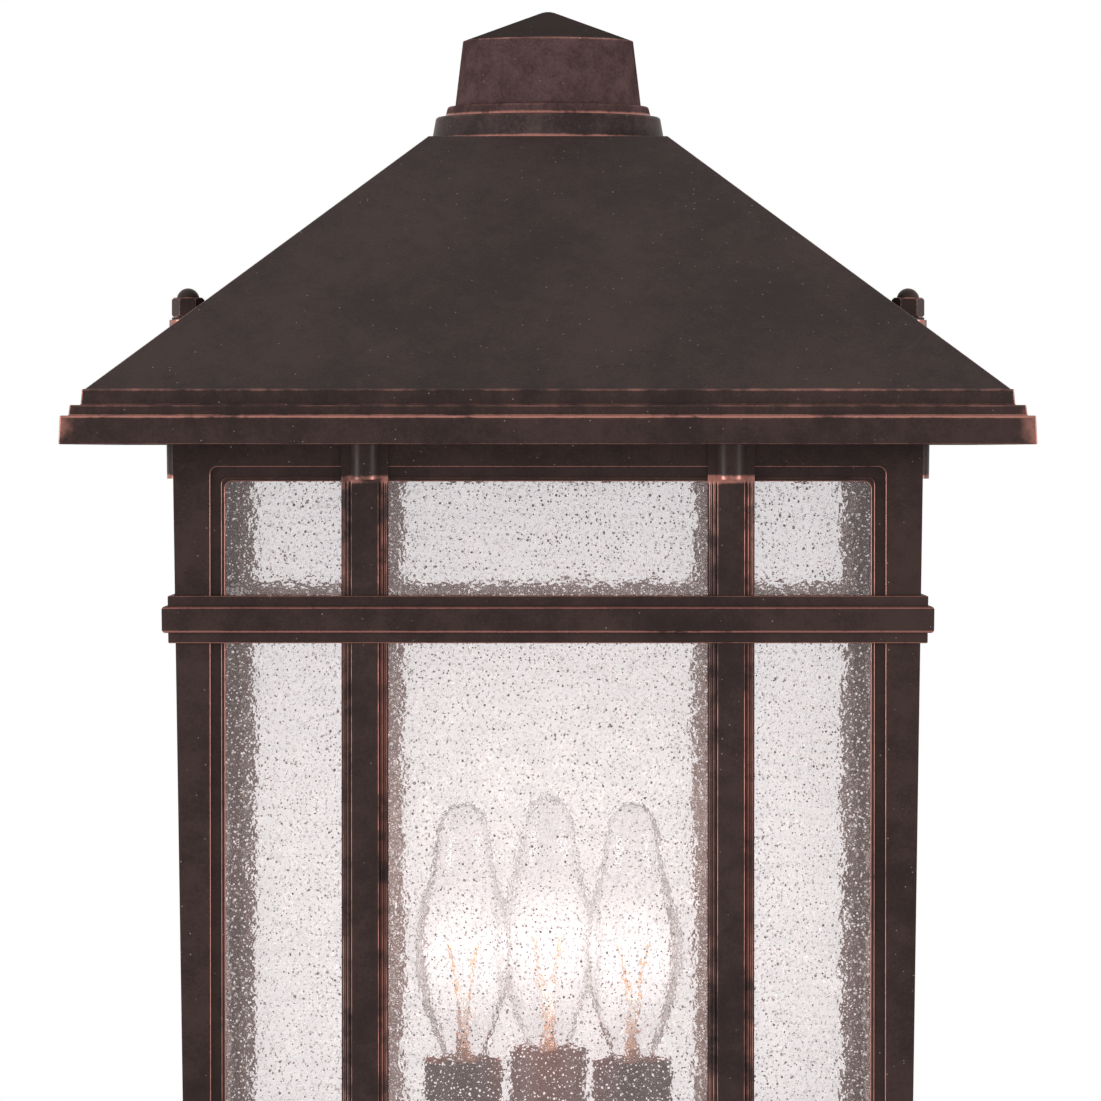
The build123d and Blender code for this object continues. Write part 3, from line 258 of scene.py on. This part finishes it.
pan_slope = math.atan2(14.0, 53.0)  # the underside climbs 14 mm over 53 mm
square_cast = rubbed_bronze("square_cast_bronze", square_edges)
pan_cast = rubbed_bronze("pan_cast_bronze", lambda tone, place: square_edges(tone, place, pan_slope))
round_cast = rubbed_bronze("round_cast_bronze", round_edges)
dress(round_cast, "post_fitter", "fitter_collar", "set_screw_1", "set_screw_2", "set_screw_3")
dress(pan_cast, "base_pan")
dress(square_cast, "floor_plate")

# ------------------------------------------------------------------- cage
# Four cast side frames, the mullion bars that run over them and the belt rail round them,
# in the same rubbed finish, with the sheet plate that ties the frames together on top.
sides = ("front", "right", "back", "left")
for side in sides:
    dress(square_cast, f"side_frame_{side}", f"belt_rail_{side}")
dress(square_cast, "cage_top_plate")

boss_foot = 0.3915  # height of the half-round boss's lower end


def bar_edges(tone, place):
    """The crests of the ridges, up to the half-round boss, and the lip at the boss's foot."""
    height = tone.node("SeparateXYZ", None, {0: place}, "Z")
    crest = square_edges(tone, place) * (1 - height.rise(boss_foot - 0.0005, boss_foot))
    below = height.rise(boss_foot - 0.0022, boss_foot - 0.0004)
    above = 1 - height.rise(boss_foot + 0.0006, boss_foot + 0.0026)
    foot = below * above
    return (0.62 * crest).at_least(0.66 * foot)


bar_cast = rubbed_bronze("bar_cast_bronze", bar_edges, gloss=0.18)
for side in sides:
    dress(bar_cast, f"mullions_{side}")


def plain_metal(name, light, dark, metallic, rough):
    """Metal with a drawn, slightly blotchy surface: noise sets its tone, gloss and fine bump."""
    material, tone = new_finish(name)
    place = tone.node("TexCoord", None, None, "Object")
    blotch = tone.node("TexNoise", None, {"Vector": place, "Scale": 160.0, "Detail": 4.0})
    grain = tone.node("TexNoise", None, {"Vector": place, "Scale": 2600.0, "Detail": 1.0})
    shader = tone.node("BsdfPrincipled", None, {
        "Base Color": blotch.rise(0.3, 0.7).between(dark, light),
        "Metallic": metallic,
        "Roughness": rough + 0.2 * (blotch - 0.5),
        "Normal": tone.node("Bump", None, {"Strength": 0.3, "Distance": 0.00003, "Height": grain}),
    })
    tone.node("OutputMaterial", None, {"Surface": shader})
    return material


zinc_steel = plain_metal("zinc_steel", rgb(0.62, 0.61, 0.58), rgb(0.45, 0.44, 0.40), 0.95, 0.38)
dress(
    zinc_steel, "corner_brackets", "foot_brackets", "cage_screws", "glass_clips", "fitter_screws",
    "roof_studs", "finial_screw", "finial_washer", "plate_screws", "socket_brackets",
)


# ------------------------------------------------------------------- glass panes
# One pane of clear seeded glass in each side: hand-poured sheet full of small bubbles,
# with a slow wave in both faces that breaks up whatever stands behind it.
seed_layers = ((470.0, 0.19), (210.0, 0.12))  # cells to a metre; radius of the widest seed, in cells
sheet_turn = 0.45  # the tangent of the rows' slant on the pane
dome_rise = 3200.0  # bump height for a metre of the widest seed's radius


def seeded_glass(name):
    """Clear glass of a faint cool colour, which a painted shade deepens above the belt, slow waves in its
    surface,
    and seeds: one dome in each cell of two flat Voronoi patterns, of uneven size, some of them given a
    painted glint of white film in the middle and some a painted shade that darkens them; a thin brown film
    lies over it all."""
    material, tone = new_finish(name)
    place = tone.node("TexCoord", None, None, "Object")
    wave = tone.node("TexNoise", None, {"Vector": place, "Scale": 50.0, "Detail": 1.5, "Roughness": 0.5})
    ripple = tone.node("TexNoise", None, {"Vector": place, "Scale": 330.0, "Detail": 2.0, "Roughness": 0.6})
    x, y, height = (tone.node("SeparateXYZ", None, {0: place}, axis) for axis in ("X", "Y", "Z"))
    stray = tone.node("TexNoise", None, {"Vector": place, "Scale": 240.0, "Detail": 1.0})
    sheet = tone.node("CombineXYZ", None, {
        "X": x + y + sheet_turn * height + 0.0016 * stray,
        "Y": height - sheet_turn * (x + y) + 0.0020 * stray,
    })
    plane = {"voronoi_dimensions": "2D"}
    domes = 0.0
    specks = 0.0
    seed_glints = 0.0
    for scale, widest in seed_layers:
        cell = tone.node("TexVoronoi", plane, {"Vector": sheet, "Scale": scale})
        draw = tone.node("TexVoronoi", plane, {"Vector": sheet, "Scale": scale}, "Color")
        chance = tone.node("SeparateXYZ", None, {0: draw}, "Y")
        dark = chance.rise(0.58, 0.68)
        width = widest * (0.35 + 0.65 * tone.node("SeparateXYZ", None, {0: draw}, "X"))
        share = cell * width ** -1.0
        domes = (widest / scale * dome_rise) * (1 - share.rise(0.0, 1.0)) + domes
        # Painted shade and painted glint: dark seeds are darkened towards black in the glass's colour, and
        # bright seeds get a white film in their middles.
        specks = ((1 - share.rise(0.50, 0.95)) * dark * (0.55 + 0.45 * chance)).at_least(specks)
        seed_glints = ((1 - share.rise(0.55, 0.90)) * (1 - dark)).at_least(seed_glints)
    body = 1.9 * wave + 0.32 * ripple + domes
    bump = tone.node("Bump", None, {"Strength": 1.0, "Distance": 0.0002, "Height": body})
    # Painted shade: the glass's colour deepens above the belt.
    tint_and_shade = height.rise(0.27, 0.40).between(rgb(0.930, 0.932, 0.945), rgb(0.890, 0.886, 0.900))
    glass = tone.node("BsdfPrincipled", None, {
        "Base Color": (0.82 * specks).between(tint_and_shade, rgb(0.06, 0.04, 0.035)),
        "Roughness": 0.0,
        "IOR": 1.5,
        "Transmission Weight": 1.0,
        "Normal": bump,
    })
    # The film turns white over the bright seeds, a painted glint.
    film = tone.node("BsdfPrincipled", None, {
        "Base Color": seed_glints.between(rgb(0.50, 0.36, 0.34), rgb(1.0, 0.97, 0.97)),
        "Roughness": 1.0,
        "Specular IOR Level": 0.0,
    })
    glass = tone.node("MixShader", None, {0: 0.06 + 0.84 * seed_glints, 1: glass, 2: film})
    open_pane = tone.node("BsdfTransparent", None, {"Color": rgb(0.9, 0.87, 0.87)})
    shadow = tone.node("LightPath", None, None, "Is Shadow Ray")
    shader = tone.node("MixShader", None, {0: shadow, 1: glass, 2: open_pane})
    tone.node("OutputMaterial", None, {"Surface": shader})
    return material


seeded = seeded_glass("seeded_glass")
for side in sides:
    dress(seeded, f"glass_{side}")


# ------------------------------------------------------- socket plate and candles
# A pressed plate carries three candelabra sockets, each hidden in a dark paper candle
# sleeve; the brass screw shell and its black insulator sit inside the sleeve.
def moulded(name, light, dark, rough, grain_scale, depth):
    """Moulded or pressed material: two near tones in a fine grain, with a light bump."""
    material, tone = new_finish(name)
    place = tone.node("TexCoord", None, None, "Object")
    blotch = tone.node("TexNoise", None, {"Vector": place, "Scale": 90.0, "Detail": 3.0})
    grain = tone.node("TexNoise", None, {"Vector": place, "Scale": grain_scale, "Detail": 2.0})
    shader = tone.node("BsdfPrincipled", None, {
        "Base Color": (0.6 * blotch + 0.4 * grain).rise(0.3, 0.7).between(dark, light),
        "Roughness": rough + 0.15 * (blotch - 0.5),
        "Specular IOR Level": 0.4,
        "Normal": tone.node("Bump", None, {"Strength": 0.4, "Distance": depth, "Height": grain}),
    })
    tone.node("OutputMaterial", None, {"Surface": shader})
    return material


dress(square_cast, "socket_plate")
sleeve_card = moulded(
    "sleeve_card", rgb(0.046, 0.016, 0.012), rgb(0.028, 0.010, 0.008), 0.5, 1200.0, 0.00005
)
dress(sleeve_card, "candle_sleeve_1", "candle_sleeve_2", "candle_sleeve_3")
brass = plain_metal("brass", rgb(0.80, 0.55, 0.25), rgb(0.62, 0.40, 0.16), 1.0, 0.28)
dress(brass, "screw_shells", "centre_contacts", "bulb_base_1", "bulb_base_2", "bulb_base_3")
phenolic = moulded(
    "phenolic", rgb(0.03, 0.028, 0.027), rgb(0.015, 0.014, 0.014), 0.35, 800.0, 0.00003
)
dress(phenolic, "socket_insulators")


# ------------------------------------------------------------------- bulbs
# Clear candelabra lamps of drawn glass, lit: a glass stem holds two lead wires and a
# fine coiled tungsten filament that glows white.
def bulb_glass(name):
    """Thin clear glass with a painted shade that darkens its colour towards its outline, and a painted glow:
    the glass gives off the glare of the hot coil in a band round it.
    """
    material, tone = new_finish(name)
    place = tone.node("TexCoord", None, None, "Object")
    edge = tone.node("LayerWeight", None, {"Blend": 0.35}, "Facing")
    height = tone.node("SeparateXYZ", None, {0: place}, "Z")
    band = height.rise(0.206, 0.236) * (1 - height.rise(0.232, 0.264))
    glare = band * (1 - edge.rise(0.02, 0.55))
    draw = tone.node("TexNoise", None, {"Vector": place, "Scale": 60.0, "Detail": 1.0})
    # Painted shade: brown towards the outline; painted glow: the glass gives off light, strongest in a band
    # round the coil.
    glass = tone.node("BsdfPrincipled", None, {
        "Base Color": edge.rise(0.50, 0.90).between(rgb(0.99, 0.985, 0.99), rgb(0.34, 0.24, 0.16)),
        "Roughness": 0.0,
        "IOR": 1.33,
        "Transmission Weight": 1.0,
        "Emission Color": glare.between(rgb(0.03, 0.03, 0.03), rgb(1.0, 0.97, 0.93)),
        "Emission Strength": 0.085,
        "Normal": tone.node("Bump", None, {"Strength": 0.4, "Distance": 0.0002, "Height": draw}),
    })
    open_glass = tone.node("BsdfTransparent", None, {"Color": rgb(0.97, 0.96, 0.95)})
    shadow = tone.node("LightPath", None, None, "Is Shadow Ray")
    shader = tone.node("MixShader", None, {0: shadow, 1: glass, 2: open_glass})
    tone.node("OutputMaterial", None, {"Surface": shader})
    return material


lamp_glass = bulb_glass("bulb_glass")
dress(lamp_glass, "bulb_glass_1", "bulb_glass_2", "bulb_glass_3")


def surface(name, points, body, material):
    """A mesh from a grid of points: row after row along the piece, column after column round it,
    with the last column joined to the first."""
    rows, columns = points.shape[:2]
    index = np.arange(rows * columns).reshape(rows, columns)
    index = np.concatenate([index, index[:, :1]], 1)
    faces = np.stack([index[:-1, :-1], index[:-1, 1:], index[1:, 1:], index[1:, :-1]], -1).reshape(-1, 4)
    mesh = bpy.data.meshes.new(name)
    mesh.from_pydata(points.reshape(-1, 3).tolist(), [], faces.tolist())
    mesh.polygons.foreach_set("use_smooth", [True] * len(mesh.polygons))
    mesh.materials.append(material)
    piece = bpy.data.objects.new(name, mesh)
    bpy.context.scene.collection.objects.link(piece)
    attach(piece, body)
    return piece


def tube(path, radius, sides_round=10):
    """Rings of a tube: each path point plus radius times the cosine and sine of the turn along
    two axes square to the path's direction; the first and last rings shrink to points."""
    along = np.gradient(path, axis=0)
    along /= np.linalg.norm(along, axis=1, keepdims=True)
    across = np.cross(along, [0.0, 1.0, 0.0])
    across /= np.linalg.norm(across, axis=1, keepdims=True)
    beside = np.cross(across, along)
    turn = np.linspace(0, 2 * math.pi, sides_round, endpoint=False)
    ring = across[:, None] * np.cos(turn)[None, :, None] + beside[:, None] * np.sin(turn)[None, :, None]
    width = np.full(len(path), radius)
    path = np.concatenate([path[:1], path, path[-1:]])
    ring = np.concatenate([ring[:1], ring, ring[-1:]])
    width = np.concatenate([[0], width, [0]])
    return path[:, None] + ring * width[:, None, None]


def glowing(name, colour, strength):
    """Hot tungsten: metal that gives off light of one colour, a little uneven along the coil."""
    material, tone = new_finish(name)
    place = tone.node("TexCoord", None, None, "Object")
    uneven = tone.node("TexNoise", None, {"Vector": place, "Scale": 700.0})
    shader = tone.node("BsdfPrincipled", None, {
        "Base Color": rgb(0.5, 0.45, 0.4),
        "Metallic": 1.0,
        "Roughness": 0.4,
        "Emission Color": uneven.between(rgb(*colour), rgb(1.0, 0.95, 0.85)),
        "Emission Strength": strength,
    })
    tone.node("OutputMaterial", None, {"Surface": shader})
    return material


def coil(start, end, turns, coil_radius, wire_radius):
    """A round wire wound about a straight line: along it runs u, the winding turns by u times
    the number of turns, and round the wire runs v, whose circle has the winding's radius and
    its binormal as axes; both ends shrink to points."""
    rings_to_a_turn = 16
    u = np.linspace(0, 1, turns * rings_to_a_turn + 1)
    v = np.linspace(0, 2 * math.pi, 8, endpoint=False)
    line = np.array(end) - np.array(start)
    length = np.linalg.norm(line)
    ahead = line / length
    side = np.cross(ahead, [0.0, 1.0, 0.0])
    up = np.cross(side, ahead)
    turn = 2 * math.pi * turns * u[:, None]
    radial = np.cos(turn) * side + np.sin(turn) * up
    sweep = 2 * math.pi * turns * coil_radius * (np.cos(turn) * up - np.sin(turn) * side) + line
    sweep /= np.linalg.norm(sweep, axis=1, keepdims=True)
    binormal = np.cross(sweep, radial)
    middle = np.array(start) + u[:, None] * line + coil_radius * radial
    taper = np.minimum(1, np.minimum(u, 1 - u) * turns * rings_to_a_turn)
    thick = wire_radius * taper[:, None, None]
    ring = radial[:, None] * np.cos(v)[None, :, None] + binormal[:, None] * np.sin(v)[None, :, None]
    return middle[:, None] + thick * ring


hot_coil = glowing("hot_coil", (1.0, 0.80, 0.50), 4.0)
lead_wire = plain_metal("lead_wire", rgb(0.85, 0.50, 0.26), rgb(0.70, 0.36, 0.16), 1.0, 0.3)


def drawn_stem(name):
    """Clear glass, pale above and copper-toned towards its foot, with an uneven change between."""
    material, tone = new_finish(name)
    place = tone.node("TexCoord", None, None, "Object")
    height = tone.node("SeparateXYZ", None, {0: place}, "Z")
    draw = tone.node("TexNoise", None, {"Vector": place, "Scale": 260.0, "Detail": 2.0})
    pale = (height + 0.006 * draw).rise(0.206, 0.222)
    shader = tone.node("BsdfPrincipled", None, {
        "Base Color": pale.between(rgb(0.80, 0.47, 0.33), rgb(0.97, 0.94, 0.92)),
        "Roughness": 0.08,
        "IOR": 1.5,
        "Transmission Weight": 0.9,
        "Normal": tone.node("Bump", None, {"Strength": 0.5, "Distance": 0.0002, "Height": draw}),
    })
    tone.node("OutputMaterial", None, {"Surface": shader})
    return material


stem_glass = drawn_stem("stem_glass")
neck_height = 0.1978
# Radius and height of the stem above the neck, and offset and height of a lead wire, in mm
stem_profile = np.array([
    (0.0, 0.0), (2.9, 0.0), (3.0, 1.5), (2.3, 5.0), (1.9, 10.0), (1.9, 15.0), (2.2, 19.0),
    (2.0, 21.5), (1.2, 23.2), (0.0, 23.8),
]) * 0.001
wire_knots = np.array([
    (1.3, 8.0), (1.4, 14.0), (1.6, 20.0), (1.9, 25.0), (2.8, 31.0), (3.9, 36.5), (4.5, 39.6),
    (4.6, 40.9),
]) * 0.001
wire_steps = 40
wire_radius = 0.0004
stem_sides = 24
stem_pinch = 0.45
winding_turns = 24
winding_radius = 0.00052
hot_wire_radius = 0.00013
filament_level = 0.2384
filament_reach = 0.0046
for number in (1, 2, 3):
    low, high = (np.array(corner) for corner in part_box(f"filament_{number}"))
    x, y = (low[:2] + high[:2]) / 2
    body = f"bulb_{number}"
    # The stem is a turned profile whose depth shrinks in step with its height up to 20 mm
    turn = np.linspace(0, 2 * math.pi, stem_sides, endpoint=False)
    radius, rise = stem_profile[:, :1], stem_profile[:, 1:]
    depth = 1 - stem_pinch * (rise / 0.02).clip(0, 1)
    stem = np.stack([
        x + radius * np.cos(turn), y + radius * np.sin(turn) * depth, neck_height + rise + 0 * turn
    ], -1)
    stem_piece = surface(f"stem_{number}", stem, body, stem_glass)
    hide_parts(f"filament_{number}")
    for side, end in ((-1, "left"), (1, "right")):
        span = np.linspace(0, len(wire_knots) - 1, wire_steps)
        reach, climb = (np.interp(span, range(len(wire_knots)), column) for column in wire_knots.T)
        wire = np.stack([x + side * reach, y + 0 * span, neck_height + climb], 1)
        surface(f"lead_wire_{number}_{end}", tube(wire, wire_radius), body, lead_wire)
    hot = coil(
        (x - filament_reach, y, filament_level), (x + filament_reach, y, filament_level),
        winding_turns, winding_radius, hot_wire_radius,
    )
    surface(f"hot_coil_{number}", hot, body, hot_coil)
    glow = bpy.data.lights.new(f"glow_{number}", "POINT")
    glow.energy = 0.6
    glow.color = (1.0, 0.93, 0.84)
    glow.shadow_soft_size = 0.006
    glow_lamp = bpy.data.objects.new(f"glow_{number}", glow)
    glow_lamp.location = (x, y, filament_level)
    glow_lamp.visible_camera = False
    glow_lamp.visible_transmission = False
    glow_lamp.visible_glossy = False
    bpy.context.scene.collection.objects.link(glow_lamp)
    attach(glow_lamp, body)

# ------------------------------------------------------------------- wiring
# Soft insulated leads run from the sockets through a rubber grommet to one wire
# connector above the post; a green screw grounds the base.
for piece, name, light, dark, rough, grain_scale, depth in (
    ("socket_leads", "lead_insulation", (0.62, 0.59, 0.52), (0.52, 0.49, 0.43), 0.5, 700.0, 0.00003),
    ("wire_connector", "connector_shell", (0.80, 0.36, 0.06), (0.66, 0.28, 0.04), 0.3, 500.0, 0.00004),
    ("floor_grommet", "grommet_rubber", (0.03, 0.03, 0.03), (0.018, 0.018, 0.018), 0.75, 1500.0, 0.00004),
):
    dress(moulded(name, rgb(*light), rgb(*dark), rough, grain_scale, depth), piece)
dress(plain_metal("green_screw", rgb(0.08, 0.36, 0.12), rgb(0.05, 0.27, 0.08), 0.8, 0.35), "ground_screw")

# ------------------------------------------------------------------- roof
# One hollow casting with stepped bands round the eave, the turned collar and finial cap
# screwed to its flat top, and the two acorn nuts that hold it down on the cage's studs.
roof_slope = math.atan2(83.4, 105.7)  # a face climbs 83.4 mm over 105.7 mm
eave_half = 0.1525
eave_steps = ((0.4117, 0.85), (0.4150, 0.30), (0.4200, 0.38))  # height, and how far rubbed


def roof_edges(tone, place):
    """The roof's edges, the eave's steps by height, and a broad smudge at its four corners."""
    spread = [tone.node("SeparateXYZ", None, {0: place}, axis).size() for axis in ("X", "Y")]
    corner = spread[0].at_most(spread[1]).rise(eave_half - 0.012, eave_half + 0.002)
    height = tone.node("SeparateXYZ", None, {0: place}, "Z")
    step = 0.0
    for level, rubbed in eave_steps:
        band = height.rise(level - 0.0011, level - 0.0004) * (1 - height.rise(level, level + 0.0006))
        step = (rubbed * band).at_least(step)
    return (0.85 * square_edges(tone, place, roof_slope)).at_least(0.5 * corner).at_least(step)


dress(rubbed_bronze("roof_cast_bronze", roof_edges), "roof_shell")


def turned_edges(tone, place):
    """Wear like round_edges, from rays twice as long, for the broader wear of the proud rims."""
    return round_edges(tone, place, 0.0014)


turned_cast = rubbed_bronze(
    "turned_cast_bronze", turned_edges, rgb(0.044, 0.0310, 0.0298), rgb(0.102, 0.0725, 0.0700), 0.02
)
dress(turned_cast, "roof_collar")
cone_foot = 0.5363  # height at which the drum ends and the cone begins


def cone_shade(tone, place):
    """Where the finial's cone is, by height: there a darker paint than on the drum below it is a painted
    shade on the upward-facing cone.
    """
    height = tone.node("SeparateXYZ", None, {0: place}, "Z")
    return 0.8 * height.rise(cone_foot - 0.0002, cone_foot + 0.0008)


# The cone's darker paint is a painted shade.
finial_cast = rubbed_bronze(
    "finial_cast_bronze", turned_edges, rgb(0.060, 0.0355, 0.0345), rgb(0.140, 0.0820, 0.0810), 0.0,
    (cone_shade, rgb(0.062, 0.0510, 0.0460)),
)
dress(finial_cast, "finial_cap")
dress(round_cast, "cap_nut_left", "cap_nut_right")
washer_rubber = moulded(
    "washer_rubber", rgb(0.035, 0.03, 0.03), rgb(0.02, 0.018, 0.018), 0.7, 1500.0, 0.00004
)
dress(washer_rubber, "cap_nut_washers")
